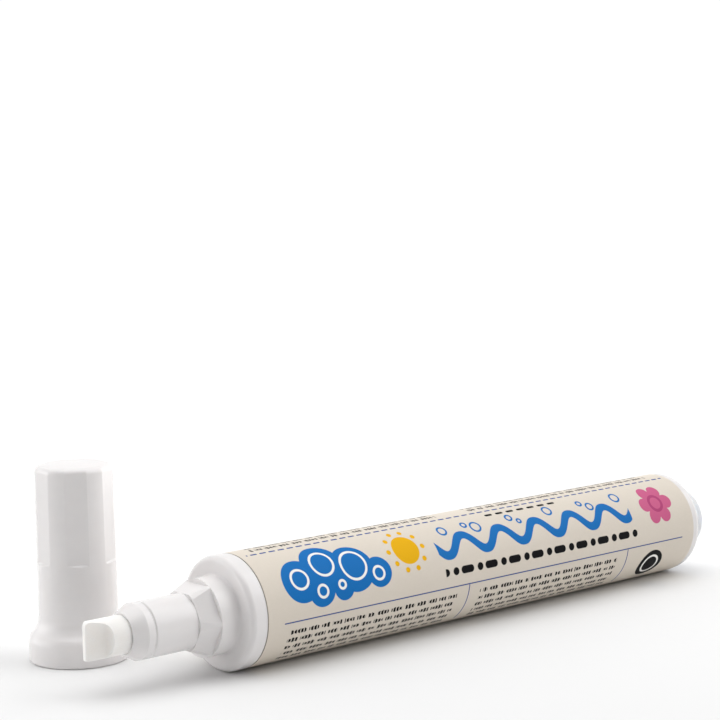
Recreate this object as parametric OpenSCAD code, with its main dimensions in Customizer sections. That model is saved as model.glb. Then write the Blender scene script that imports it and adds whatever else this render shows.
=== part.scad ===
// Stain remover pen with a spring valve behind its chisel nib.
// The open pen lies on its side along X with the nib towards -X.
// Its cap has been pulled off and stands on its mouth beside the nib.
// Millimetres, Z up, origin on the surface below the middle of the whole set.

/* [Barrel and label] */
// Outside diameter of the wrapped barrel and of the collar
pen_d = 17; // [16:0.1:19]
// Length of the barrel tube, mouth to rear end
barrel_l = 96.3; // [80:0.1:110]
// Wall of the barrel tube
barrel_wall = 1.3; // [1.1:0.1:1.4]
// Radius that rounds the barrel's rear edge
barrel_round = 1.2; // [0.6:0.1:1.4]
// Thickness of the wrap label
label_t = 0.1; // [0.08:0.01:0.15]
// Layer of glue between the label and the barrel
label_glue = 0.02; // [0.01:0.01:0.05]
// Bare barrel left behind the label
label_inset = 2.2; // [1.4:0.1:4]
// Gap between the collar and the label
label_gap = 0.15; // [0.05:0.05:0.4]
// Slit left where the two ends of the label meet
label_slit = 0.25; // [0.1:0.05:0.6]

/* [End plug] */
// Diameter of the plug where it leaves the barrel
plug_d = 12; // [11:0.1:13]
// Diameter of the plug at its outer end, before the rounding
plug_end_d = 11; // [10:0.1:11.6]
// Length of plug that shows behind the barrel
plug_out = 5.2; // [4:0.1:9]
// Depth of plug inside the barrel
plug_in = 7.8; // [5:0.1:12]
// Radius that rounds the plug's outer end
plug_round = 2.2; // [1:0.1:3]
// Wall of the hollow plug
plug_wall = 1.2; // [1:0.1:1.6]

/* [Collar, boss and neck] */
// Length of the collar that shows in front of the label
collar_l = 2.7; // [2:0.1:5]
// Radius on the collar's front edge
collar_round = 0.9; // [0.2:0.1:1.1]
// Diameter of the boss that the cap snaps onto
boss_d = 11.5; // [10.8:0.1:12]
// Length of the boss in front of the collar
boss_l = 3.25; // [2.6:0.05:4.5]
// Hollow fillet between the boss and the collar's face
boss_fillet = 0.4; // [0.2:0.05:0.5]
// Length of the six-sided taper from boss to neck
taper_l = 2.9; // [2:0.1:4]
// How far the taper's flats are cut in at the boss, as a share of its radius
taper_cut = 0.12; // [0.06:0.01:0.13]
// How far the taper's corners stand out from the neck at its front
taper_step = 0.4; // [0.2:0.05:0.6]
// Diameter of the neck
neck_d = 8.2; // [8:0.1:8.6]
// Length of the neck in front of the taper
neck_l = 7.2; // [5:0.05:9]
// Bevel on each side of the seam between the neck and the guide
seam_bevel = 0.2; // [0.1:0.05:0.3]
// Depth of the spigot that plugs into the barrel
spigot_l = 10; // [8:0.1:14]

/* [Nib and its guide] */
// Length of the guide ring that shows in front of the neck
guide_l = 1.25; // [1:0.05:3]
// Length of the guide's cone
guide_cone_l = 2; // [0.8:0.1:2.6]
// Depth of the guide inside the neck
guide_in = 3.8; // [2.5:0.1:5]
// Diameter of the felt nib
nib_d = 5.55; // [5.1:0.05:5.7]
// Length of nib in front of the guide
nib_out = 6.1; // [5:0.1:9]
// Thickness left at the nib's writing edge
nib_edge = 0.64; // [0.5:0.02:1]
// Length of the flat part of the chisel
chisel_l = 2.2; // [1.5:0.1:3]
// Thickness of the nib at the end of the chisel's flats
chisel_root = 2.6; // [2:0.1:3.2]
// Radius of the scoop that ends each flat
chisel_scoop = 1.6; // [1:0.1:2]
// Radius on the upper corner of the writing edge
nib_corner = 0.8; // [0.3:0.1:1.2]
// Radius on the lower corner of the writing edge
nib_heel = 0.3; // [0.2:0.1:1.2]
// Diameter of the nib's tail
nib_tail_d = 3.5; // [3:0.1:4]
// Length of the nib's tail
nib_tail_l = 4.2; // [3:0.1:5]

/* [Valve] */
// How far the nib can be pressed in
press_travel = 1.6; // [1:0.1:2]
// Outside diameter of the valve cage
cage_d = 10.8; // [10:0.1:11]
// Wall of the valve cage
cage_wall = 1.0; // [0.8:0.1:1.4]
// Length of the valve cage
cage_l = 21; // [18:0.5:26]
// Thickness of the valve seat
seat_t = 1.4; // [1:0.1:2]
// Diameter of the hole through the valve seat
seat_hole_d = 3.2; // [2.8:0.1:3.6]
// Diameter of the valve disc
disc_d = 5.6; // [5:0.1:6.4]
// Thickness of the valve disc
disc_t = 1.2; // [0.8:0.1:2]
// Thickness of the rubber washer in front of the disc
washer_t = 0.8; // [0.5:0.1:1.2]
// Diameter of the stem
stem_d = 2.0; // [1.6:0.1:2.2]
// Outside diameter of the cup that holds the nib's tail
cup_d = 5.5; // [5:0.05:5.7]
// Thickness of the clip that holds the spring in the cage
clip_t = 1.5; // [1:0.1:2.5]
// Diameter of the spring wire
wire_d = 0.4; // [0.3:0.05:0.5]
// Mean diameter of the spring
spring_d = 4.0; // [3.4:0.1:4.6]
// Turns of the spring
spring_turns = 8; // [5:0.5:10]

/* [Cap] */
// Length of the cap
cap_l = 29.3; // [28:0.1:34]
// Diameter of the cap's closed end
cap_end_d = 11.56; // [11.4:0.02:12]
// Diameter of the cap's waist above the flare
cap_waist_d = 11.84; // [11.6:0.02:12.4]
// Diameter of the cap's skirt
cap_skirt_d = 15.0; // [14:0.1:16]
// Height of the straight part of the skirt
cap_skirt_l = 2.9; // [2.4:0.1:4]
// Radius on the skirt's shoulder
cap_shoulder = 2; // [1:0.1:2.4]
// Radius that rounds the outside of the skirt's rim
cap_rim = 0.4; // [0.2:0.1:0.8]
// Radius of the hollow of the flare
cap_hollow = 3.6; // [3:0.1:6]
// Radius on the edge of the closed end
cap_edge = 0.9; // [0.3:0.1:1.2]
// Distance across each pair of grip flats
cap_flats = 11.16; // [10.9:0.02:11.4]
// Height at which the grip flats end in a ledge
cap_ledge = 15.1; // [12:0.1:20]
// How far each ledge slopes down to the cap's outside
ledge_slope = 0.25; // [0.1:0.05:0.6]
// Thickness of the cap's closed end
cap_end_t = 1.5; // [1:0.1:2.5]
// Wall of the soft inner cap that seals round the neck
liner_wall = 0.5; // [0.4:0.05:0.6]
// Height of the inner cap's open end
liner_z = 9.5; // [8:0.1:11]
// Thickness of the inner cap's closed end
liner_end_t = 0.8; // [0.5:0.1:1.2]
// Where the cap stands, measured along the pen from the collar's face
cap_at_x = -9.6; // [-30:0.1:40]
// Where the cap stands, measured out from the pen's axis
cap_at_y = 21.5; // [17:0.1:60]
// Turn of the cap's grip flats
cap_turn = -33; // [-45:1:45]

/* [Fits] */
// Radial play of a running fit
running = 0.07; // [0.03:0.01:0.1]
// Radial play of the nib in its guide
nib_play = 0.03; // [0.02:0.01:0.08]
// Radial play of the spigot in the barrel
spigot_play = 0.08; // [0.05:0.01:0.1]
// Radial play of the neck in the inner cap
neck_play = 0.15; // [0.1:0.01:0.2]
// Play between parts that nearly touch end to end
end_play = 0.05; // [0.02:0.01:0.1]

/* [Hidden] */
$fn = 96;
eps = 0.01;
white = [0.93, 0.93, 0.92];
cream = [0.94, 0.90, 0.83];
felt = [0.92, 0.90, 0.86];
frost = [0.88, 0.90, 0.93];
amber = [0.75, 0.70, 0.62];
steel = [0.62, 0.64, 0.66];
rubber = [0.16, 0.16, 0.17];

// the barrel and its bore
pen_r = pen_d / 2;
tube_r = pen_r - label_t - label_glue;
label_in_r = pen_r - label_t;
bore_r = tube_r - barrel_wall;
barrel_x0 = collar_l;
barrel_x1 = barrel_x0 + barrel_l;
plug_r = plug_d / 2;
plug_bore_r = plug_r + 0.25;
plug_x1 = barrel_x1 + plug_out;

// the nose, from the collar's face forwards
boss_r = boss_d / 2;
neck_r = neck_d / 2;
taper_x0 = -boss_l - taper_l;
neck_x0 = taper_x0 - neck_l;
ring_x0 = neck_x0 - guide_l;
tip_x0 = ring_x0 - guide_cone_l;
nib_x0 = tip_x0 - nib_out;
nib_r = nib_d / 2;
nib_bore_r = nib_r + nib_play;
guide_wall = 0.53;
guide_r = nib_bore_r + guide_wall;
guide_x1 = neck_x0 + guide_in;
spigot_r = bore_r - spigot_play;
spigot_x1 = barrel_x0 + spigot_l;

// the valve, from front to rear
cage_r = cage_d / 2;
cage_in_r = cage_r - cage_wall;
cage_x0 = 1.2;
seat_x1 = cage_x0 + seat_t;
cage_x1 = cage_x0 + cage_l;
clip_x0 = cage_x1 - clip_t;
stem_r = stem_d / 2;
stem_hole_r = stem_r + running;
washer_x0 = seat_x1 + end_play;
disc_x0 = washer_x0 + washer_t;
disc_x1 = disc_x0 + disc_t;
stem_x1 = clip_x0 + 0.6;
cup_x0 = guide_x1 + 0.2;
cup_floor = 0.8;
cup_x1 = cup_x0 + nib_tail_l + cup_floor;
nose_bore_r = cup_d / 2 + 0.2;
stop_x = cup_x1 + press_travel + end_play;
stop_bore_r = seat_hole_d / 2 + 0.2;

// the seal between the spigot and the barrel
seal_r = 0.5;
seal_x = barrel_x0 + spigot_l * 0.55;
seal_mid_r = bore_r - seal_r - 0.02;

// the cap
cap_top_r = cap_end_d / 2;
waist_r = cap_waist_d / 2;
skirt_r = cap_skirt_d / 2;
mouth_r = boss_r + running;
mouth_l = boss_l + 0.15;
liner_in_r = neck_r + neck_play;
liner_r = liner_in_r + liner_wall;
liner_z1 = cap_l - cap_end_t - liner_end_t;
flare_dr = skirt_r - waist_r;
flare_l = sqrt(pow(cap_shoulder + cap_hollow, 2) - pow(cap_shoulder + cap_hollow - flare_dr, 2));
waist_z = cap_skirt_l + flare_l;

// the whole set sits centred over the origin
shift_x = -(nib_x0 + plug_x1) / 2;
shift_y = -(cap_at_y + skirt_r - pen_r) / 2;

// puts a turned shape, drawn about Z, along the pen's axis
module on_axis() {
    translate([shift_x, shift_y, pen_r]) rotate([0, 90, 0]) children();
}

// a plain disc or tube of the pen between two stations
module turned(x0, x1, r0, r1) {
    translate([0, 0, x0]) cylinder(h = x1 - x0, r1 = r0, r2 = r1);
}

module barrel() {
    color(white) on_axis() difference() {
        rotate_extrude() union() {
            translate([0, barrel_x0]) square([tube_r, barrel_l - barrel_round]);
            translate([0, barrel_x0]) square([tube_r - barrel_round, barrel_l]);
            translate([tube_r - barrel_round, barrel_x1 - barrel_round]) circle(barrel_round);
        }
        turned(barrel_x0 - eps, barrel_x1 - plug_in, bore_r, bore_r);
        turned(barrel_x0 - eps, barrel_x1 + eps, plug_bore_r, plug_bore_r);
        // lead-in for the spigot
        turned(barrel_x0 - eps, barrel_x0 + 0.6, bore_r + 0.35, bore_r);
    }
}

module wrap_label() {
    label_x0 = barrel_x0 + label_gap;
    label_x1 = barrel_x1 - label_inset;
    color(cream) on_axis() difference() {
        turned(label_x0, label_x1, pen_r, pen_r);
        turned(label_x0 - eps, label_x1 + eps, label_in_r, label_in_r);
        rotate([0, 0, 30]) translate([tube_r - 1, -label_slit / 2, label_x0 - eps])
            cube([2, label_slit, label_x1 - label_x0 + 2 * eps]);
    }
}

module end_plug() {
    end_r = plug_end_d / 2;
    in_r = plug_r - plug_wall;
    color(frost) on_axis() difference() {
        union() {
            // hollow spigot pressed into the barrel
            turned(barrel_x1 - plug_in, barrel_x1, plug_bore_r, plug_bore_r);
            // post that shows, tapered and rounded over
            rotate_extrude() union() {
                polygon([[0, barrel_x1 - eps], [plug_r, barrel_x1 - eps], [end_r, plug_x1 - plug_round],
                         [end_r - plug_round, plug_x1], [0, plug_x1]]);
                translate([end_r - plug_round, plug_x1 - plug_round]) circle(plug_round);
            }
        }
        turned(barrel_x1 - plug_in - eps, barrel_x1, in_r, in_r);
        turned(barrel_x1 - eps, plug_x1 - plug_round, in_r, end_r - plug_wall);
    }
}

// the six-sided taper: a cone with its sides planed flat
module taper() {
    front_flat = neck_r + 0.05;
    rear_flat = boss_r * (1 - taper_cut);
    intersection() {
        turned(taper_x0, -boss_l, neck_r + taper_step, boss_r);
        rotate([0, 0, 30]) translate([0, 0, taper_x0])
            cylinder(h = taper_l, r1 = front_flat / cos(30), r2 = rear_flat / cos(30), $fn = 6);
    }
}

module front_section() {
    groove_w = 2 * seal_r + 0.2;
    groove_r = seal_mid_r - seal_r - 0.03;
    color(white) on_axis() difference() {
        union() {
            // collar with a rounded front edge
            rotate_extrude() union() {
                translate([0, 0]) square([pen_r - collar_round, collar_l]);
                translate([0, collar_round]) square([pen_r, collar_l - collar_round]);
                translate([pen_r - collar_round, collar_round]) circle(collar_round);
            }
            // boss with a hollow fillet at its root
            turned(-boss_l, eps, boss_r, boss_r);
            rotate_extrude() difference() {
                translate([0, -boss_fillet]) square([boss_r + boss_fillet, boss_fillet + eps]);
                translate([boss_r + boss_fillet, -boss_fillet]) circle(boss_fillet);
            }
            taper();
            turned(neck_x0 + seam_bevel, -boss_l, neck_r, neck_r);
            turned(neck_x0, neck_x0 + seam_bevel, neck_r - seam_bevel, neck_r);
            // spigot with two snap rings
            turned(collar_l - eps, spigot_x1, spigot_r, spigot_r);
            for (x = [barrel_x0 + 1.4, spigot_x1 - 1.6]) turned(x, x + 0.7, bore_r, bore_r);
        }
        // groove for the seal
        rotate_extrude() translate([groove_r, seal_x - groove_w / 2]) square([spigot_r, groove_w]);
        // seat for the nib guide, then the bore for the stem's cup up to the shoulder that stops it
        turned(neck_x0 - eps, guide_x1, guide_r, guide_r);
        turned(guide_x1 - eps, stop_x, nose_bore_r, nose_bore_r);
        turned(stop_x - eps, cage_x0 + eps, stop_bore_r, stop_bore_r);
        // chamber for the valve cage
        turned(cage_x0, spigot_x1 + eps, cage_r, cage_r);
    }
}

module nib_guide() {
    color(white) on_axis() difference() {
        union() {
            turned(tip_x0, ring_x0, nib_r + 0.28, neck_r);
            turned(ring_x0, neck_x0 - seam_bevel, neck_r, neck_r);
            turned(neck_x0 - seam_bevel, neck_x0, neck_r, neck_r - seam_bevel);
            turned(neck_x0 - eps, guide_x1, guide_r, guide_r);
        }
        turned(tip_x0 - eps, guide_x1 + eps, nib_bore_r, nib_bore_r);
        // air and overflow slots along the spigot
        for (a = [0:120:240]) rotate([0, 0, a]) translate([nib_r, -0.4, neck_x0 + 0.8])
            cube([guide_r, 0.8, guide_in]);
    }
}

// the flat outline taken off each side of the chisel
module chisel_cut() {
    tilt = atan((chisel_root - nib_edge) / 2 / chisel_l);
    root = chisel_root / 2;
    union() {
        polygon([[-1, nib_edge / 2 - tan(tilt)], [chisel_l, root], [chisel_l, nib_d], [-1, nib_d]]);
        translate([chisel_l - chisel_scoop * sin(tilt), root + chisel_scoop * cos(tilt)])
            circle(chisel_scoop);
    }
}

// what a rounded corner takes off the writing edge: side 0 is the lower corner
module edge_corner(side, radius) {
    mirror([side, 0, 0]) translate([nib_r - radius, -nib_r, nib_x0])
        rotate([-90, 0, 0]) linear_extrude(height = nib_d) difference() {
            translate([0, -radius]) square([radius + 1, radius + 1]);
            translate([0, -radius]) circle(radius);
        }
}

module nib() {
    color(felt) on_axis() difference() {
        union() {
            turned(nib_x0, cup_x0, nib_r, nib_r);
            turned(cup_x0 - eps, cup_x0 + nib_tail_l, nib_tail_d / 2, nib_tail_d / 2);
        }
        // the two flats of the chisel
        for (side = [0, 1]) mirror([0, side, 0]) translate([nib_r + 1, 0, nib_x0])
            rotate([0, -90, 0]) linear_extrude(height = nib_d + 2) chisel_cut();
        // rounded corners of the writing edge
        edge_corner(0, nib_heel);
        edge_corner(1, nib_corner);
    }
}

module valve_stem() {
    flute_r = 0.9;
    color(amber) on_axis() difference() {
        union() {
            turned(cup_x0, cup_x1, cup_d / 2, cup_d / 2);
            turned(cup_x1 - eps, disc_x0 + eps, stem_r, stem_r);
            turned(disc_x0, disc_x1, disc_d / 2, disc_d / 2);
            turned(disc_x1 - eps, stem_x1, stem_r, stem_r);
        }
        turned(cup_x0 - eps, cup_x0 + nib_tail_l, nib_tail_d / 2, nib_tail_d / 2);
        // flutes that let the fluid past the cup
        for (a = [0:120:240]) rotate([0, 0, a]) translate([cup_d / 2 + 0.4, 0, cup_x0 - eps])
            cylinder(h = cup_x1 - cup_x0 + 2 * eps, r = flute_r);
    }
}

module valve_washer() {
    color(rubber) on_axis() difference() {
        turned(washer_x0, disc_x0, disc_d / 2, disc_d / 2);
        turned(washer_x0 - eps, disc_x0 + eps, stem_r, stem_r);
    }
}

module valve_cage() {
    window_w = 4;
    window_x0 = spigot_x1 + 1.2;
    window_l = clip_x0 - window_x0 - 1.2;
    color(frost) on_axis() difference() {
        turned(cage_x0, cage_x1, cage_r, cage_r);
        turned(seat_x1, cage_x1 + eps, cage_in_r, cage_in_r);
        turned(cage_x0 - eps, seat_x1 + eps, seat_hole_d / 2, seat_hole_d / 2);
        // windows that let the fluid in from the barrel
        for (a = [45:90:315]) rotate([0, 0, a]) translate([0, -window_w / 2, window_x0])
            cube([cage_r + 1, window_w, window_l]);
    }
}

module spring_clip() {
    color(frost) on_axis() difference() {
        turned(clip_x0, cage_x1, cage_in_r, cage_in_r);
        turned(clip_x0 - eps, cage_x1 + eps, stem_hole_r, stem_hole_r);
        for (a = [0:90:270]) rotate([0, 0, a]) translate([(cage_in_r + stem_r) / 2, 0, clip_x0 - eps])
            cylinder(h = clip_t + 2 * eps, r = 0.9);
    }
}

// the spring's wire runs round a helix between the valve disc and the clip
module valve_spring() {
    steps = 14 * spring_turns;
    sides = 6;
    lo = disc_x1 + end_play + wire_d / 2;
    hi = clip_x0 - end_play - wire_d / 2;
    // one flat turn at each end, even pitch between
    function rise(u) = u < 1 / spring_turns ? 0.12 * u * spring_turns
        : u > 1 - 1 / spring_turns ? 0.88 + 0.12 * (u - 1 + 1 / spring_turns) * spring_turns
        : 0.12 + 0.76 * (u - 1 / spring_turns) / (1 - 2 / spring_turns);
    function wire(i, j) = let(a = 360 * spring_turns * i / steps, b = 360 * j / sides,
        r = spring_d / 2 + wire_d / 2 * cos(b))
        [r * cos(a), r * sin(a), lo + (hi - lo) * rise(i / steps) + wire_d / 2 * sin(b)];
    points = [for (i = [0:steps]) for (j = [0:sides - 1]) wire(i, j)];
    walls = [for (i = [0:steps - 1]) for (j = [0:sides - 1])
        [i * sides + j, i * sides + (j + 1) % sides,
         (i + 1) * sides + (j + 1) % sides, (i + 1) * sides + j]];
    start = [for (j = [sides - 1:-1:0]) j];
    end = [for (j = [0:sides - 1]) steps * sides + j];
    color(steel) on_axis() polyhedron(concat(points), concat(walls, [start, end]));
}

module spigot_seal() {
    color(rubber) on_axis() translate([0, 0, seal_x]) rotate_extrude()
        translate([seal_mid_r, 0]) circle(seal_r);
}

// puts a shape drawn mouth down on the spot where the cap stands
module at_cap() {
    translate([shift_x + cap_at_x, shift_y + cap_at_y, 0]) rotate([0, 0, cap_turn]) children();
}

module cap() {
    shoulder = [skirt_r - cap_shoulder, cap_skirt_l];
    hollow = [waist_r + cap_hollow, waist_z];
    meet = shoulder + (hollow - shoulder) * cap_shoulder / (cap_shoulder + cap_hollow);
    color(white) at_cap() difference() {
        rotate_extrude() difference() {
            union() {
                polygon([[0, 0], [skirt_r - cap_rim, 0], [skirt_r, cap_rim], [skirt_r, cap_skirt_l], meet,
                         [waist_r, waist_z], [cap_top_r, cap_l - cap_edge],
                         [cap_top_r - cap_edge, cap_l], [0, cap_l]]);
                translate([skirt_r - cap_rim, cap_rim]) circle(cap_rim);
                translate(shoulder) circle(cap_shoulder);
                translate([cap_top_r - cap_edge, cap_l - cap_edge]) circle(cap_edge);
            }
            translate(hollow) circle(cap_hollow);
        }
        // grip flats, each ending in a ledge that slopes down to the outside
        for (a = [0:90:270]) rotate([0, 0, a]) translate([0, pen_r, 0]) rotate([90, 0, 0])
            linear_extrude(height = pen_d) polygon([[cap_flats / 2, cap_l + 1], [cap_flats / 2, cap_ledge],
                [waist_r, cap_ledge - ledge_slope], [pen_r, cap_ledge - ledge_slope], [pen_r, cap_l + 1]]);
        // mouth that snaps on the boss, then the bore that holds the inner cap
        lead_in = boss_fillet + 0.1;
        translate([0, 0, -eps]) cylinder(h = mouth_l + eps, r = mouth_r);
        translate([0, 0, -eps]) cylinder(h = lead_in, r1 = mouth_r + lead_in, r2 = mouth_r);
        translate([0, 0, mouth_l - eps]) cylinder(h = taper_l, r1 = mouth_r, r2 = liner_r);
        cylinder(h = cap_l - cap_end_t, r = liner_r);
    }
}

module inner_cap() {
    color(frost) at_cap() difference() {
        translate([0, 0, liner_z]) cylinder(h = liner_z1 + liner_end_t - liner_z, r = liner_r);
        translate([0, 0, liner_z - eps]) cylinder(h = liner_z1 - liner_z + eps, r = liner_in_r);
        // lead-in for the neck
        translate([0, 0, liner_z - eps]) cylinder(h = 0.7, r1 = liner_r - 0.1, r2 = liner_in_r);
    }
}

barrel();
wrap_label();
end_plug();
front_section();
nib_guide();
nib();
valve_stem();
valve_washer();
valve_cage();
spring_clip();
valve_spring();
spigot_seal();
cap();
inner_cap();
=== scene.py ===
import math
from functools import reduce

import bmesh
import bpy
from mathutils import Matrix, Vector


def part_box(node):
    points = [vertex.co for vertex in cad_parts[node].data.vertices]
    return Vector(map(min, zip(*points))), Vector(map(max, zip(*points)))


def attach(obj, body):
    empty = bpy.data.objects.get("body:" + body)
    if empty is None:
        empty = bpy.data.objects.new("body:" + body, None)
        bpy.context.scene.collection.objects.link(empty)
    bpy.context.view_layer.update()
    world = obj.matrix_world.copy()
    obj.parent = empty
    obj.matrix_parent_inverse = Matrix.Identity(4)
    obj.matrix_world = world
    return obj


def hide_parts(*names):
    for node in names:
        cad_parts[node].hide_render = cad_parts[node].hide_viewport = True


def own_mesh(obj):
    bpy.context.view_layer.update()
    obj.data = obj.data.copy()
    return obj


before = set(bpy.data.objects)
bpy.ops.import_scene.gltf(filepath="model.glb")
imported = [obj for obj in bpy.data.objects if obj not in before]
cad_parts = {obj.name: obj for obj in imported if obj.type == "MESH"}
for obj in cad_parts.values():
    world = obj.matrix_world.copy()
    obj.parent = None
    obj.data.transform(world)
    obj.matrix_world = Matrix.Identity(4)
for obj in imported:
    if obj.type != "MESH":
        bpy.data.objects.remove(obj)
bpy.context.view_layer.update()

MM = 0.001

# Places from the frame, in metres
BARREL_LO, BARREL_HI = (Vector(corner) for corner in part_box("barrel"))
LABEL_LO, LABEL_HI = (Vector(corner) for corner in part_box("wrap_label"))
CAP_LO, CAP_HI = (Vector(corner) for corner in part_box("cap"))
SPRING_LO, SPRING_HI = (Vector(corner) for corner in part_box("valve_spring"))
PEN_Y = (BARREL_LO.y + BARREL_HI.y) / 2
PEN_Z = (BARREL_LO.z + BARREL_HI.z) / 2
PEN_R = (LABEL_HI.y - LABEL_LO.y) / 2
CAP_FOOT = Vector(((CAP_LO.x + CAP_HI.x) / 2, (CAP_LO.y + CAP_HI.y) / 2, CAP_LO.z))

# The camera, fitted to the outlines of the pen and of the cap, with its place in metres
CAMERA_AT = Vector((-0.21003, -0.23747, 0.07524))
CAMERA_YAW = math.radians(41.028)
CAMERA_PITCH = math.radians(-6.099)
CAMERA_ROLL = math.radians(-1.116)
LENS_MM = 99.65
SENSOR_MM = 36.0
CLIP_NEAR = 0.01
CLIP_FAR = 50.0

# Level directions of the set: from its front to its back, and to its right
INWARD = Vector((math.sin(CAMERA_YAW), math.cos(CAMERA_YAW), 0.0))
RIGHTWARD = Vector((math.cos(CAMERA_YAW), -math.sin(CAMERA_YAW), 0.0))
UPWARD = Vector((0.0, 0.0, 1.0))

# Sizes of the cap in millimetres, radii from its axis and heights from its rim
CAP_SKIRT_R = 7.5
CAP_RIM_ROUND = 0.4
CAP_SKIRT_L = 2.9
CAP_SHOULDER = 2.0
CAP_HOLLOW = 3.6
CAP_WAIST_R = 5.92
CAP_END_R = 5.78
CAP_EDGE_ROUND = 0.9
CAP_LEDGE_Z = 15.1
CAP_LEDGE_DROP = 0.25
CAP_MOUTH_R = 5.82
CAP_MOUTH_L = 3.4
CAP_LEAD_IN = 0.5
CAP_BORE_R = 4.75
CAP_BORE_Z = 6.3
CAP_END_T = 1.5
CAP_CREASE = math.radians(12)

# The grip flats, and the columns of faces on a flat and on the round part beside it
GRIP_FLATS = 6
FLAT_HALF = math.radians(16.5)
FLAT_TURN = math.radians(59.0)
FLAT_COLUMNS = 12
ROUND_COLUMNS = 10

# The valve spring, in millimetres; an end turn takes its share of the spring's length
SPRING_TURNS = 8
SPRING_STEPS = 20
SPRING_R = 2.0
WIRE_R = 0.2
WIRE_SIDES = 10
END_TURN_RISE = 0.12

# The label's print in millimetres: u runs back from the label's front edge,
# v round the barrel from its top line, and a disc is (u, v, radius)
PRINT_SOFTNESS = 0.06
# width of the painted shade line along the label's front edge, at the seam
SEAM_SHADE_WIDTH = 0.08
DASH_PITCH = 1.7
DASH_V = 2.1
DASH_HALF_U = 0.6
DASH_HALF_V = 0.16
DASH_ROUND = 0.12
DASH_MARGIN = 1.2
RULE_SPAN = (3.0, 91.0)
RULE_V = 14.4
RULE_HALF = 0.09
RULE_ROUND = 0.08
TICKS_U = (40.0, 77.0)
TICK_V = 18.2
TICK_HALF = 3.7
CLOUD = ((7.2, 8.6, 3.4), (12.0, 6.9, 3.7), (17.4, 8.2, 3.8), (21.9, 9.6, 2.4), (10.4, 10.6, 2.5),
         (14.6, 10.9, 1.9))
CLOUD_RINGS = ((7.0, 8.4, 1.5), (12.1, 6.6, 2.0), (17.6, 7.8, 2.3), (21.8, 9.8, 1.0), (10.6, 10.8, 0.9),
               (14.4, 10.4, 0.6))
CLOUD_RING_HALF = 0.2
SUN = (28.6, 7.0, 2.5)
SUN_RAYS = 10
SUN_RAY_REACH = 3.45
SUN_RAY_R = 0.42
RIBBON_SPAN = (34.5, 79.0)
RIBBON_V = 7.9
RIBBON_WAVE = 8.2
RIBBON_SWING = 1.5
RIBBON_HALF = 0.72
LOOSE_RINGS = ((37.6, 5.0, 0.8), (42.6, 4.6, 0.5), (44.6, 5.4, 0.95), (52.4, 4.9, 0.6), (54.0, 5.9, 0.4),
               (61.2, 5.0, 0.85), (69.0, 4.8, 0.5), (70.8, 5.8, 0.7), (77.6, 5.0, 0.9))
LOOSE_RING_HALF = 0.17
BEAD_SPAN = (35.0, 79.4)
BEAD_PITCH = 5.2
BEAD = (0.8, 12.0, 0.62)
LONG_BEAD_U = 3.25
LONG_BEAD_HALF_U = 1.35
LONG_BEAD_HALF_V = 0.6
LONG_BEAD_ROUND = 0.58
SMALL_BEAD_SPAN = (48.1, 64.7)
SMALL_BEAD_PITCH = 2.4
SMALL_BEAD_V = 3.4
SMALL_BEAD_HALF_U = 0.8
SMALL_BEAD_HALF_V = 0.25
SMALL_BEAD_ROUND = 0.24
ROSETTE = (86.0, 7.6, 2.6)
PETALS = 6
PETAL_R = 1.3
ROSETTE_RING = (86.0, 7.6, 1.4)
ROSETTE_RING_HALF = 0.28
STAMP = (84.0, 18.6, 2.9)
STAMP_RING = (84.0, 18.6, 1.8)
STAMP_RING_HALF = 0.2

# Blocks of fine strokes: v of the first row, pitch, rows, span along u, seed, size of the strokes
FINE_PRINT = ((16.0, 1.35, 5, (4.0, 37.5), 3.0, 1.0), (16.0, 1.35, 5, (42.5, 74.5), 41.0, 1.0),
              (-0.9, 1.5, 2, (3.0, 40.0), 11.0, 1.2), (-0.9, 1.5, 2, (47.0, 90.0), 23.0, 1.2))
STROKE_PITCH = 0.62
STROKE_SHIFT = 0.17
STROKE_HALF_U = 0.23
STROKE_HALF_V = 0.3
STROKE_SWING = 0.12
STROKE_WAVES = (5.3, 2.9)
STROKE_WAVE_SHIFT = 3.1
GROUPS_PER_MM = 0.42
GROUP_SHIFT = 7.31
GROUP_GAP = 0.11

# The floor, in metres: painted shade deepens its white from the far to the near place, counted inward
FLOOR_REACH = 12.0
FLOOR_SHADE_FAR = 0.023
FLOOR_SHADE_NEAR = -0.067

# The studio sky: strengths of its soft zones, and their edges and blends in degrees, but for
# SIDE_BLEND, which is a share of the direction's length
SKY_TINT = (1.0, 1.0, 1.0, 1.0)
SKY = {"zenith": 2.25, "high_back": 0.85, "low_back": 0.82, "high_front": 0.0, "low_front": 0.02,
       "high_right": 2.40, "high_left": 1.04, "low_right": 0.95, "low_left": 2.72, "horizon": 1.03}
ZENITH_EDGE = 60.0
HIGH_EDGE = 25.0
HEIGHT_BLEND = 6.0
BACK_EDGE = 125.0
FRONT_EDGE = 60.0
ROUND_BLEND = 10.0
SIDE_BLEND = 0.01
BAND_TOP = 3.0
BAND_BLEND = 2.0
BACKDROP_RISE = 4.0
BACKDROP_EDGE = 150.0
BACKDROP_BLEND = 8.0

# The softbox beside the cap, in metres; its turn starts at the front of the set
SOFTBOX_TURN = math.radians(121)
SOFTBOX_AWAY = 0.125
SOFTBOX_WIDTH = 0.078
SOFTBOX_HEIGHT = 0.1
SOFTBOX_Z = 0.06
SOFTBOX_GLOW = 1.5


# Shader arithmetic
def linear(red, green, blue):
    """A colour given as it shows on a screen, as the light it stands for."""
    def channel(c):
        c = c / 255
        return c / 12.92 if c <= 0.04045 else ((c + 0.055) / 1.055) ** 2.4
    return (channel(red), channel(green), channel(blue), 1.0)


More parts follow.
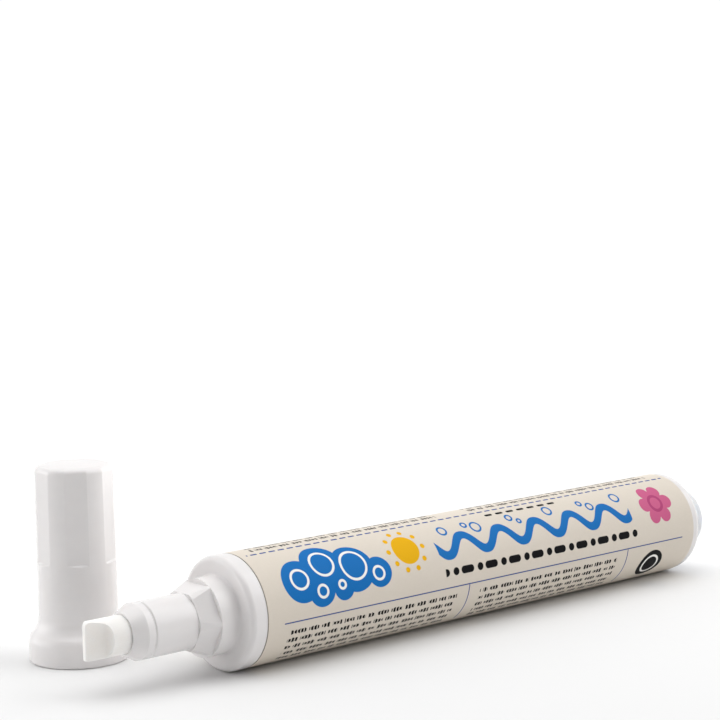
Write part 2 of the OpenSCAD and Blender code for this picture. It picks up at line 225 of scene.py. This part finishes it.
class Field:
    """A value that varies over a surface: an output socket that can be reckoned with."""

    def __init__(self, tree, socket):
        self.tree = tree
        self.socket = socket

    def node(self, kind, settings, inputs, output=0):
        return add_node(self.tree, kind, settings, inputs, output)

    def calc(self, operation, *values, clamp=False):
        settings = {"operation": operation, "use_clamp": clamp}
        return self.node("ShaderNodeMath", settings, dict(enumerate(values)))

    def __add__(self, other):
        return self.calc("ADD", self, other)

    __radd__ = __add__

    def __sub__(self, other):
        return self.calc("SUBTRACT", self, other)

    def __rsub__(self, other):
        return self.calc("SUBTRACT", other, self)

    def __mul__(self, other):
        return self.calc("MULTIPLY", self, other)

    __rmul__ = __mul__

    def __truediv__(self, other):
        return self.calc("DIVIDE", self, other)

    def __rtruediv__(self, other):
        return self.calc("DIVIDE", other, self)

    def __abs__(self):
        return self.calc("ABSOLUTE", self)

    def min(self, other):
        return self.calc("MINIMUM", self, other)

    def max(self, other):
        return self.calc("MAXIMUM", self, other)

    def sin(self):
        return self.calc("SINE", self)

    def sqrt(self):
        return self.calc("SQRT", self)

    def wrap(self, low, high):
        return self.calc("WRAP", self, high, low)

    def floor(self):
        return self.calc("FLOOR", self)

    def clamp(self):
        return self.calc("ADD", self, 0.0, clamp=True)


def add_node(tree, kind, settings, inputs, output=0):
    """Adds a node, sets its settings first and then its inputs, and gives one output."""
    made = tree.nodes.new(kind)
    for name, value in settings.items():
        setattr(made, name, value)
    for key, value in inputs.items():
        socket = made.inputs[key]
        if isinstance(value, Field):
            tree.links.new(value.socket, socket)
        else:
            socket.default_value = value
    return None if output is None else Field(tree, made.outputs[output])


def new_material(name, **constants):
    """A Principled material with its constant values set on the sockets."""
    material = bpy.data.materials.new(name)
    material.use_nodes = True
    surface = material.node_tree.nodes["Principled BSDF"]
    for key, value in constants.items():
        surface.inputs[key.replace("_", " ")].default_value = value
    return material, material.node_tree, surface


def point_mm(tree):
    """The point on the object, in millimetres."""
    point = add_node(tree, "ShaderNodeTexCoord", {}, {}, "Object")
    return point.node("ShaderNodeVectorMath", {"operation": "SCALE"}, {0: point, "Scale": 1 / MM})


def split(point):
    """The three parts of a vector."""
    return [point.node("ShaderNodeSeparateXYZ", {}, {0: point}, axis) for axis in "XYZ"]


def along(vector, direction):
    """How far a vector reaches in a direction."""
    return vector.node("ShaderNodeVectorMath", {"operation": "DOT_PRODUCT"},
                       {0: vector, 1: direction}, "Value")


def stretched(point, x, y, z):
    return point.node("ShaderNodeVectorMath", {"operation": "MULTIPLY"}, {0: point, 1: (x, y, z)})


def noise(point, scale, detail=2.0, roughness=0.5):
    """Cloudy noise from 0 to 1; the scale is in cells per millimetre."""
    return point.node("ShaderNodeTexNoise", {}, {
        "Vector": point, "Scale": scale, "Detail": detail, "Roughness": roughness}, "Fac")


def mix(factor, first, second):
    """Goes from the first colour to the second as the factor goes from 0 to 1."""
    return factor.node("ShaderNodeMix", {"data_type": "RGBA"}, {0: factor, 6: first, 7: second}, 2)


def bump(height, surface, strength, depth_mm):
    made = height.node("ShaderNodeBump", {}, {
        "Height": height, "Strength": strength, "Distance": depth_mm * MM}, "Normal")
    link(made, surface, "Normal")


def link(field, surface, name):
    field.tree.links.new(field.socket, surface.inputs[name])


# Materials of the pieces
def moulded_plastic(name, pale, deep, gloss, grain_mm, **constants):
    """Moulded plastic: slow flow marks, a fine satin grain and light scuffs."""
    material, tree, surface = new_material(name, **constants)
    point = point_mm(tree)
    flow = noise(stretched(point, 0.25, 1.0, 1.0), scale=0.5, detail=3.0)
    satin = noise(point, scale=14.0)
    scuffs = noise(stretched(point, 1.0, 3.0, 3.0), scale=1.8, detail=4.0, roughness=0.7)
    link(mix(flow, deep, pale), surface, "Base Color")
    link(gloss + (scuffs - 0.5) * 0.12 + (satin - 0.5) * 0.05, surface, "Roughness")
    bump(satin * 0.5 + flow * 2.0, surface, strength=0.6, depth_mm=grain_mm)
    return material


def felt_material():
    """Pressed felt: fibres that run along the nib, with a soft, matt surface."""
    material, tree, surface = new_material(
        "pressed_felt", Sheen_Weight=0.2, Sheen_Roughness=0.5, Subsurface_Weight=0.6,
        Subsurface_Radius=(1.0, 0.95, 0.9), Subsurface_Scale=0.0016)
    point = point_mm(tree)
    fibres = noise(stretched(point, 0.9, 7.0, 7.0), scale=1.3, detail=5.0, roughness=0.65)
    pores = noise(point, scale=5.5, detail=3.0, roughness=0.6)
    shade = fibres * 0.7 + pores * 0.3
    link(mix(shade, linear(238, 234, 230), linear(250, 248, 245)), surface, "Base Color")
    link(0.86 + fibres * 0.12, surface, "Roughness")
    bump(fibres * 0.7 + pores * 0.5, surface, strength=0.8, depth_mm=0.05)
    return material


def rubber_material():
    """Black rubber with a dull bloom."""
    material, tree, surface = new_material("seal_rubber", IOR=1.5)
    bloom = noise(point_mm(tree), scale=2.2, detail=4.0, roughness=0.6)
    link(mix(bloom, linear(26, 26, 28), linear(52, 52, 54)), surface, "Base Color")
    link(0.5 + bloom * 0.25, surface, "Roughness")
    bump(bloom, surface, strength=0.4, depth_mm=0.01)
    return material


def steel_material():
    """Drawn spring wire: bright, with fine marks round the axis."""
    material, tree, surface = new_material("spring_wire", Metallic=1.0)
    drawn = noise(stretched(point_mm(tree), 6.0, 1.0, 1.0), scale=4.0, detail=3.0)
    link(mix(drawn, linear(150, 152, 156), linear(196, 198, 200)), surface, "Base Color")
    link(0.22 + drawn * 0.15, surface, "Roughness")
    return material


# The label's inks and film
INK_BLUE = linear(24, 112, 186)
INK_DEEP_BLUE = linear(34, 68, 140)
INK_BLACK = linear(14, 14, 16)
INK_SOFT_BLACK = linear(30, 28, 28)
INK_PINK = linear(204, 98, 140)
INK_DEEP_PINK = linear(180, 72, 120)
INK_YELLOW = linear(232, 176, 8)
INK_WHITE = linear(246, 244, 240)
FILM_CREAM = linear(225, 216, 204)
FILM_DEEP = linear(219, 210, 197)
# the colour of the painted shade line in the seam at the label's front edge
PAINTED_SEAM_SHADE = linear(170, 161, 150)


# The label's print
class PrintedFilm:
    """The label's colour, with inks laid on one after another, at places u and v."""

    def __init__(self, point, grain):
        x, y, z = split(point)
        side = PEN_Y / MM - y
        height = z - PEN_Z / MM
        self.u = x - LABEL_LO.x / MM
        self.v = side.calc("ARCTAN2", side, height) * (PEN_R / MM)
        self.colour = mix(grain, FILM_DEEP, FILM_CREAM)

    def print_on(self, distance, ink):
        """Lays ink where the distance is below zero, with an edge as soft as print has."""
        mask = (0.5 - distance / PRINT_SOFTNESS).clamp()
        self.colour = mix(mask, self.colour, ink)


def outside(value, span):
    """Distance from a span, below zero between its ends."""
    start, end = span
    return abs(value - (start + end) / 2) - (end - start) / 2


def disc(u, v, place):
    """Distance from a disc, below zero inside."""
    middle_u, middle_v, radius = place
    du = u - middle_u
    dv = v - middle_v
    return (du * du + dv * dv).sqrt() - radius


def bar(u, v, middle_u, middle_v, half_u, half_v, rounding):
    """Distance from a bar with rounded corners."""
    du = (abs(u - middle_u) - (half_u - rounding)).max(0.0)
    dv = (abs(v - middle_v) - (half_v - rounding)).max(0.0)
    return (du * du + dv * dv).sqrt() - rounding


def discs(film, places):
    """Distance from the nearest of several discs."""
    return reduce(Field.min, (disc(film.u, film.v, place) for place in places))


def rings(film, places, half_width):
    """Distance from the nearest of several rings, drawn along the edges of discs."""
    return reduce(Field.min, (abs(disc(film.u, film.v, place)) - half_width for place in places))


def round_about(place, count, reach, radius):
    """Places of discs spaced evenly round the middle of another."""
    turns = [2 * math.pi * k / count for k in range(count)]
    return [(place[0] + reach * math.cos(turn), place[1] + reach * math.sin(turn), radius) for turn in turns]


def print_rules(film):
    """A dashed rule near the top, and a plain one lower down with two ticks under it."""
    cell = film.u.wrap(0.0, DASH_PITCH)
    dash = bar(cell, film.v, DASH_PITCH / 2, DASH_V, DASH_HALF_U, DASH_HALF_V, DASH_ROUND)
    margins = (DASH_MARGIN, (LABEL_HI.x - LABEL_LO.x) / MM - DASH_MARGIN)
    film.print_on(dash.max(outside(film.u, margins)), INK_DEEP_BLUE)
    middle = (RULE_SPAN[0] + RULE_SPAN[1]) / 2
    half = (RULE_SPAN[1] - RULE_SPAN[0]) / 2
    film.print_on(bar(film.u, film.v, middle, RULE_V, half, RULE_HALF, RULE_ROUND), INK_DEEP_BLUE)
    for tick_u in TICKS_U:
        film.print_on(bar(film.u, film.v, tick_u, TICK_V, RULE_HALF, TICK_HALF, RULE_ROUND), INK_DEEP_BLUE)


def print_cloud(film):
    """A blue cloud of suds with white rings."""
    film.print_on(discs(film, CLOUD), INK_BLUE)
    film.print_on(rings(film, CLOUD_RINGS, CLOUD_RING_HALF), INK_WHITE)


def print_sun(film):
    """A yellow sun with dots for rays."""
    film.print_on(discs(film, [SUN] + round_about(SUN, SUN_RAYS, SUN_RAY_REACH, SUN_RAY_R)), INK_YELLOW)


def print_ribbon(film):
    """A blue wavy ribbon of even width, with loose suds above it."""
    rate = 2 * math.pi / RIBBON_WAVE
    phase = (film.u - RIBBON_SPAN[0]) * rate
    slope = (phase + math.pi / 2).sin() * (RIBBON_SWING * rate)
    off = abs(film.v - RIBBON_V - phase.sin() * RIBBON_SWING)
    ribbon = off / (slope * slope + 1.0).sqrt() - RIBBON_HALF
    film.print_on(ribbon.max(outside(film.u, RIBBON_SPAN)), INK_BLUE)
    film.print_on(rings(film, LOOSE_RINGS, LOOSE_RING_HALF), INK_BLUE)


def print_beads(film):
    """A row of black beads, round and long by turns, and a short row of small ones."""
    cell = film.u.wrap(0.0, BEAD_PITCH)
    long_bead = bar(cell, film.v, LONG_BEAD_U, BEAD[1], LONG_BEAD_HALF_U, LONG_BEAD_HALF_V, LONG_BEAD_ROUND)
    row = disc(cell, film.v, BEAD).min(long_bead)
    film.print_on(row.max(outside(film.u, BEAD_SPAN)), INK_BLACK)
    cell = film.u.wrap(0.0, SMALL_BEAD_PITCH)
    row = bar(cell, film.v, SMALL_BEAD_PITCH / 2, SMALL_BEAD_V, SMALL_BEAD_HALF_U, SMALL_BEAD_HALF_V,
              SMALL_BEAD_ROUND)
    film.print_on(row.max(outside(film.u, SMALL_BEAD_SPAN)), INK_BLACK)


def print_rosette(film):
    """A pink rosette with a deeper ring."""
    petals = round_about(ROSETTE, PETALS, ROSETTE[2], PETAL_R)
    film.print_on(discs(film, [ROSETTE] + petals), INK_PINK)
    film.print_on(rings(film, [ROSETTE_RING], ROSETTE_RING_HALF), INK_DEEP_PINK)


def print_fine_rows(film, first_v, pitch, rows, span, seed, size):
    """Rows of short broken strokes in groups."""
    row = ((film.v - first_v) / pitch + 0.5).floor()
    local = film.v - first_v - row * pitch
    shift = film.u * GROUPS_PER_MM + row * GROUP_SHIFT + seed
    groups = shift.node("ShaderNodeTexVoronoi",
                        {"voronoi_dimensions": "1D", "feature": "DISTANCE_TO_EDGE"},
                        {"W": shift, "Scale": 1.0, "Randomness": 0.9}, "Distance")
    across = (film.u + row * STROKE_SHIFT).wrap(0.0, STROKE_PITCH) - STROKE_PITCH / 2
    fast, slow = STROKE_WAVES
    swing = (film.u * fast + row * STROKE_WAVE_SHIFT).sin() * (film.u * slow + seed).sin()
    stroke = abs(local) - (swing * STROKE_SWING + STROKE_HALF_V) * size
    stroke = stroke.max(abs(across) - STROKE_HALF_U).max((GROUP_GAP - groups) / GROUPS_PER_MM)
    block = outside(row, (-0.25, rows - 0.75)).max(outside(film.u, span))
    film.print_on(stroke.max(block), INK_SOFT_BLACK)


def print_stamp(film):
    """A dark round stamp with a white ring."""
    film.print_on(discs(film, [STAMP]), INK_BLACK)
    film.print_on(rings(film, [STAMP_RING], STAMP_RING_HALF), INK_WHITE)


def label_material():
    """Cream film with a generic print, and a painted shade line along its front edge, in the seam against the
    collar.
    """
    material, tree, surface = new_material("printed_film", IOR=1.5, Specular_IOR_Level=0.06)
    point = point_mm(tree)
    grain = noise(stretched(point, 0.6, 1.0, 1.0), scale=3.0, detail=4.0, roughness=0.6)
    film = PrintedFilm(point, grain)
    print_rules(film)
    print_cloud(film)
    print_sun(film)
    print_ribbon(film)
    print_beads(film)
    print_rosette(film)
    for block in FINE_PRINT:
        print_fine_rows(film, *block)
    print_stamp(film)
    # painted shade: a darker line along the label's front edge, for the shade in the seam
    film.print_on(film.u - SEAM_SHADE_WIDTH, PAINTED_SEAM_SHADE)
    link(film.colour, surface, "Base Color")
    scuff = noise(stretched(point, 0.7, 2.0, 2.0), scale=1.2, detail=4.0, roughness=0.7)
    link(0.48 + (scuff - 0.5) * 0.14, surface, "Roughness")
    bump(grain, surface, strength=0.3, depth_mm=0.004)
    return material


# Finishes
WHITE_PLASTIC = moulded_plastic(
    "white_polypropylene", linear(236, 233, 232), linear(231, 228, 228), 0.22, 0.004,
    Subsurface_Weight=0.15, Subsurface_Radius=(1.0, 0.9, 0.85), Subsurface_Scale=0.001,
    IOR=1.49)

FROSTED_PLASTIC = moulded_plastic(
    "frosted_polyethylene", linear(234, 236, 240), linear(228, 231, 236), 0.3, 0.006,
    Subsurface_Weight=0.5, Subsurface_Radius=(0.7, 0.85, 1.0), Subsurface_Scale=0.002,
    Transmission_Weight=0.12, IOR=1.5)

VALVE_PLASTIC = moulded_plastic(
    "valve_acetal", linear(226, 214, 190), linear(214, 202, 178), 0.4, 0.004,
    Subsurface_Weight=0.2, Subsurface_Radius=(1.0, 0.8, 0.6), Subsurface_Scale=0.001)

LABEL_FILM = label_material()
FELT = felt_material()
RUBBER = rubber_material()
STEEL = steel_material()

FINISHES = {
    "barrel": WHITE_PLASTIC, "wrap_label": LABEL_FILM, "end_plug": FROSTED_PLASTIC,
    "front_section": WHITE_PLASTIC, "nib_guide": WHITE_PLASTIC, "nib": FELT,
    "valve_stem": VALVE_PLASTIC, "valve_washer": RUBBER, "valve_cage": FROSTED_PLASTIC,
    "spring_clip": FROSTED_PLASTIC, "valve_spring": STEEL, "spigot_seal": RUBBER,
    "cap": WHITE_PLASTIC, "inner_cap": FROSTED_PLASTIC,
}


def finish_nodes():
    """Gives every piece from the CAD its material."""
    for name, finish in FINISHES.items():
        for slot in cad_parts[name].material_slots:
            slot.material = finish


def place_object(name, data):
    """A new object in the scene, at the origin."""
    made = bpy.data.objects.new(name, data)
    bpy.context.scene.collection.objects.link(made)
    return made


# The cap
def arc(centre_r, centre_z, radius, start, end, steps):
    """Points of a profile on an arc, its ends among them; the angles are in degrees."""
    points = []
    for k in range(steps + 1):
        angle = math.radians(start + (end - start) * k / steps)
        points.append((centre_r + radius * math.cos(angle), centre_z + radius * math.sin(angle)))
    return points


def grip_columns():
    """Angle of each column round the cap, and the share of its radius that a flat leaves it."""
    columns = []
    pitch = 2 * math.pi / GRIP_FLATS
    for flat in range(GRIP_FLATS):
        middle = FLAT_TURN + flat * pitch
        for k in range(FLAT_COLUMNS):
            off = -FLAT_HALF + 2 * FLAT_HALF * k / FLAT_COLUMNS
            columns.append((middle + off, math.cos(FLAT_HALF) / math.cos(off)))
        for k in range(ROUND_COLUMNS):
            columns.append((middle + FLAT_HALF + (pitch - 2 * FLAT_HALF) * k / ROUND_COLUMNS, 1.0))
    return columns


def cap_profile():
    """Radii and heights of the cap's rings: its hollow, its round outside, and its gripped outside."""
    height = (CAP_HI.z - CAP_LO.z) / MM
    meeting = math.degrees(math.acos(1 - (CAP_SKIRT_R - CAP_WAIST_R) / (CAP_SHOULDER + CAP_HOLLOW)))
    waist_z = CAP_SKIRT_L + (CAP_SHOULDER + CAP_HOLLOW) * math.sin(math.radians(meeting))
    edge_z = height - CAP_EDGE_ROUND
    slope = (CAP_END_R - CAP_WAIST_R) / (edge_z - waist_z)
    foot_z = CAP_LEDGE_Z - CAP_LEDGE_DROP
    hollow = [(CAP_BORE_R, height - CAP_END_T), (CAP_BORE_R, CAP_BORE_Z), (CAP_MOUTH_R, CAP_MOUTH_L),
              (CAP_MOUTH_R, CAP_LEAD_IN), (CAP_MOUTH_R + CAP_LEAD_IN, 0.0)]
    plain = (arc(CAP_SKIRT_R - CAP_RIM_ROUND, CAP_RIM_ROUND, CAP_RIM_ROUND, -90, 0, 6)
             + arc(CAP_SKIRT_R - CAP_SHOULDER, CAP_SKIRT_L, CAP_SHOULDER, 0, meeting, 10)
             + arc(CAP_WAIST_R + CAP_HOLLOW, waist_z, CAP_HOLLOW, 180 + meeting, 180, 10)[1:]
             + [(CAP_WAIST_R + slope * (foot_z - waist_z), foot_z)])
    gripped = ([(CAP_WAIST_R + slope * (CAP_LEDGE_Z - waist_z), CAP_LEDGE_Z)]
               + arc(CAP_END_R - CAP_EDGE_ROUND, edge_z, CAP_EDGE_ROUND, 0, 90, 8))
    return hollow, plain, gripped


def make_cap():
    """The stepped cap, turned from its profile, with six grip flats that end in a ledge."""
    columns = grip_columns()
    build = bmesh.new()

    def ring(radius, z, cut):
        points = []
        for angle, share in columns:
            reach = radius * share if cut else radius
            place = Vector((reach * math.cos(angle), reach * math.sin(angle), z))
            points.append(build.verts.new(CAP_FOOT + place * MM))
        return points

    hollow, plain, gripped = cap_profile()
    stack = [ring(radius, z, False) for radius, z in hollow + plain]
    stack += [ring(radius, z, True) for radius, z in gripped]
    for first, second in zip(stack, stack[1:]):
        for k in range(len(columns)):
            n = (k + 1) % len(columns)
            build.faces.new((first[k], first[n], second[n], second[k]))
    for end_ring in (stack[0], stack[-1]):
        build.faces.new(end_ring)
    bmesh.ops.recalc_face_normals(build, faces=build.faces)
    mesh = bpy.data.meshes.new("stepped_cap")
    build.to_mesh(mesh)
    build.free()
    mesh.shade_smooth()
    mesh.set_sharp_from_angle(angle=CAP_CREASE)
    mesh.materials.append(WHITE_PLASTIC)
    piece = place_object("stepped_cap", mesh)
    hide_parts("cap")
    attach(piece, "cap")
    return piece


# The valve spring
def spring_tree():
    """Nodes that run a wire round a helix: close turns at both ends, even pitch between."""
    tree = bpy.data.node_groups.new("coiled_wire", "GeometryNodeTree")
    for label in ("Turns", "Coil Radius", "Wire Radius", "Front", "Length", "Axis Y", "Axis Z"):
        tree.interface.new_socket(label, in_out="INPUT", socket_type="NodeSocketFloat")
    tree.interface.new_socket("Steps", in_out="INPUT", socket_type="NodeSocketInt")
    tree.interface.new_socket("Finish", in_out="INPUT", socket_type="NodeSocketMaterial")
    tree.interface.new_socket("Geometry", in_out="OUTPUT", socket_type="NodeSocketGeometry")
    entry = tree.nodes.new("NodeGroupInput")

    def given(label):
        return Field(tree, entry.outputs[label])

    line = add_node(tree, "GeometryNodeMeshLine", {"mode": "OFFSET"}, {"Count": given("Steps") + 1.0})
    path = add_node(tree, "GeometryNodeMeshToCurve", {}, {"Mesh": line})
    share = add_node(tree, "GeometryNodeInputIndex", {}, {}) / given("Steps")
    turns = given("Turns")
    first = (share * turns).clamp()
    middle = ((share - 1.0 / turns) / (1.0 - 2.0 / turns)).clamp()
    last = ((share - 1.0 + 1.0 / turns) * turns).clamp()
    rise = first * END_TURN_RISE + middle * (1 - 2 * END_TURN_RISE) + last * END_TURN_RISE
    angle = share * turns * (2 * math.pi)
    place = add_node(tree, "ShaderNodeCombineXYZ", {}, {
        "X": given("Front") + given("Length") * rise,
        "Y": given("Axis Y") + given("Coil Radius") * (angle + math.pi / 2).sin(),
        "Z": given("Axis Z") + given("Coil Radius") * angle.sin()})
    path = add_node(tree, "GeometryNodeSetPosition", {}, {"Geometry": path, "Position": place})
    section = add_node(tree, "GeometryNodeCurvePrimitiveCircle", {"mode": "RADIUS"},
                       {"Resolution": WIRE_SIDES, "Radius": given("Wire Radius")})
    wire = add_node(tree, "GeometryNodeCurveToMesh", {},
                    {"Curve": path, "Profile Curve": section, "Fill Caps": True})
    wire = add_node(tree, "GeometryNodeRealizeInstances", {}, {"Geometry": wire})
    wire = add_node(tree, "GeometryNodeSetMaterial", {}, {"Geometry": wire, "Material": given("Finish")})
    add_node(tree, "NodeGroupOutput", {}, {"Geometry": wire}, None)
    return tree


def make_spring():
    """The valve spring, a coil of round wire."""
    length = SPRING_HI.x - SPRING_LO.x
    wire = WIRE_R * MM
    values = {"Turns": float(SPRING_TURNS), "Steps": SPRING_TURNS * SPRING_STEPS,
              "Coil Radius": SPRING_R * MM, "Wire Radius": wire, "Front": SPRING_LO.x + wire,
              "Length": length - 2 * wire, "Axis Y": PEN_Y, "Axis Z": PEN_Z, "Finish": STEEL}
    maker = place_object("spring_maker", bpy.data.meshes.new("spring_maker"))
    modifier = maker.modifiers.new("coil", "NODES")
    modifier.node_group = spring_tree()
    for item in modifier.node_group.interface.items_tree:
        if item.in_out == "INPUT":
            modifier[item.identifier] = values[item.name]
    graph = bpy.context.evaluated_depsgraph_get()
    graph.update()
    mesh = bpy.data.meshes.new_from_object(maker.evaluated_get(graph), depsgraph=graph)
    maker.modifiers.remove(modifier)
    bpy.data.objects.remove(maker)
    mesh.name = "coiled_spring"
    mesh.shade_smooth()
    piece = place_object("coiled_spring", mesh)
    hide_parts("valve_spring")
    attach(piece, "pen")
    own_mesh(piece)


# Floor, light and camera
def stand_camera():
    """The camera at the photograph's viewing angle, without depth of field."""
    ahead = INWARD * math.cos(CAMERA_PITCH) + UPWARD * math.sin(CAMERA_PITCH)
    upright = RIGHTWARD.cross(ahead)
    right = math.cos(CAMERA_ROLL) * RIGHTWARD + math.sin(CAMERA_ROLL) * upright
    up = math.cos(CAMERA_ROLL) * upright - math.sin(CAMERA_ROLL) * RIGHTWARD
    data = bpy.data.cameras.new("camera")
    data.sensor_width = SENSOR_MM
    data.lens = LENS_MM
    data.clip_start = CLIP_NEAR
    data.clip_end = CLIP_FAR
    data.dof.use_dof = False
    camera = place_object("camera", data)
    turn = Matrix((right, up, -ahead)).transposed()
    camera.matrix_world = Matrix.Translation(CAMERA_AT) @ turn.to_4x4()
    bpy.context.scene.camera = camera


def lay_floor():
    """A white board with a fine tooth, and painted shade that deepens it in front of the set."""
    corners = [(-FLOOR_REACH, -FLOOR_REACH, 0), (FLOOR_REACH, -FLOOR_REACH, 0),
               (FLOOR_REACH, FLOOR_REACH, 0), (-FLOOR_REACH, FLOOR_REACH, 0)]
    mesh = bpy.data.meshes.new("floor")
    mesh.from_pydata(corners, [], [(0, 1, 2, 3)])
    floor = place_object("floor", mesh)
    material, tree, surface = new_material("white_board", Specular_IOR_Level=0.2)
    point = point_mm(tree)
    tooth = noise(point, scale=0.8, detail=3.0)
    # painted shade: the floor's white darkens towards the front of the set, standing in for light that falls
    # off
    painted_shade = ((FLOOR_SHADE_FAR - along(point, INWARD * MM)) / (FLOOR_SHADE_FAR - FLOOR_SHADE_NEAR)).clamp()
    white = mix(tooth, linear(238, 238, 238), linear(242, 242, 242))
    link(mix(painted_shade, white, linear(228, 228, 228)), surface, "Base Color")
    link(0.75 + tooth * 0.1, surface, "Roughness")
    mesh.materials.append(material)


def past(value, edge, blend):
    """Goes from 0 to 1 as a value passes an edge, over a blend on each side of it."""
    return ((value - edge) / (2 * blend) + 0.5).clamp()


def light_world():
    """A studio sky in soft zones by height and by azimuth, which is 0 in front of the set."""
    world = bpy.data.worlds.new("studio")
    bpy.context.scene.world = world
    world.use_nodes = True
    tree = world.node_tree
    tree.nodes.clear()
    way = add_node(tree, "ShaderNodeTexCoord", {}, {}, "Generated")
    right = along(way, RIGHTWARD)
    up = along(way, UPWARD)
    azimuth = abs(right).calc("ARCTAN2", abs(right), along(way, -INWARD)) * (180 / math.pi)
    height = up.calc("ARCSINE", up) * (180 / math.pi)
    zenith = past(height, ZENITH_EDGE, HEIGHT_BLEND)
    low = 1.0 - past(height, HIGH_EDGE, HEIGHT_BLEND)
    high = 1.0 - zenith - low
    back = past(azimuth, BACK_EDGE, ROUND_BLEND)
    front = 1.0 - past(azimuth, FRONT_EDGE, ROUND_BLEND)
    right_side = (1.0 - back - front) * past(right, 0.0, SIDE_BLEND)
    left_side = 1.0 - back - front - right_side
    sky = zenith * SKY["zenith"]
    for tier, tier_name in ((high, "high"), (low, "low")):
        for zone, zone_name in ((back, "back"), (front, "front"), (right_side, "right"), (left_side, "left")):
            sky = sky + tier * zone * SKY[f"{tier_name}_{zone_name}"]
    # a pale band all round at the horizon, which rises to a backdrop behind the set
    band_top = past(azimuth, BACKDROP_EDGE, BACKDROP_BLEND) * BACKDROP_RISE + BAND_TOP
    band = (1.0 - past(height, band_top, BAND_BLEND)) * SKY["horizon"]
    glow = add_node(tree, "ShaderNodeBackground", {}, {"Color": SKY_TINT, "Strength": sky.max(band)})
    add_node(tree, "ShaderNodeOutputWorld", {}, {"Surface": glow}, None)


def light_cap(cap):
    """A softbox right of the cap and a little behind it, linked to the cap so that it lights nothing else."""
    away = RIGHTWARD * math.sin(SOFTBOX_TURN) - INWARD * math.cos(SOFTBOX_TURN)
    data = bpy.data.lights.new("right_softbox", "AREA")
    data.shape = "RECTANGLE"
    data.size = SOFTBOX_WIDTH
    data.size_y = SOFTBOX_HEIGHT
    data.energy = SOFTBOX_GLOW * SOFTBOX_WIDTH * SOFTBOX_HEIGHT * math.pi
    light = place_object("right_softbox", data)
    light.location = Vector((CAP_FOOT.x, CAP_FOOT.y, SOFTBOX_Z)) + away * SOFTBOX_AWAY
    light.rotation_euler = (-away).to_track_quat("-Z", "Y").to_euler()
    lit = bpy.data.collections.new("lit_by_right_softbox")
    lit.objects.link(cap)
    light.light_linking.receiver_collection = lit


finish_nodes()
cap_piece = make_cap()
make_spring()
stand_camera()
lay_floor()
light_world()
light_cap(cap_piece)

bpy.context.scene.view_settings.view_transform = "Standard"
bpy.context.scene.view_settings.look = "None"
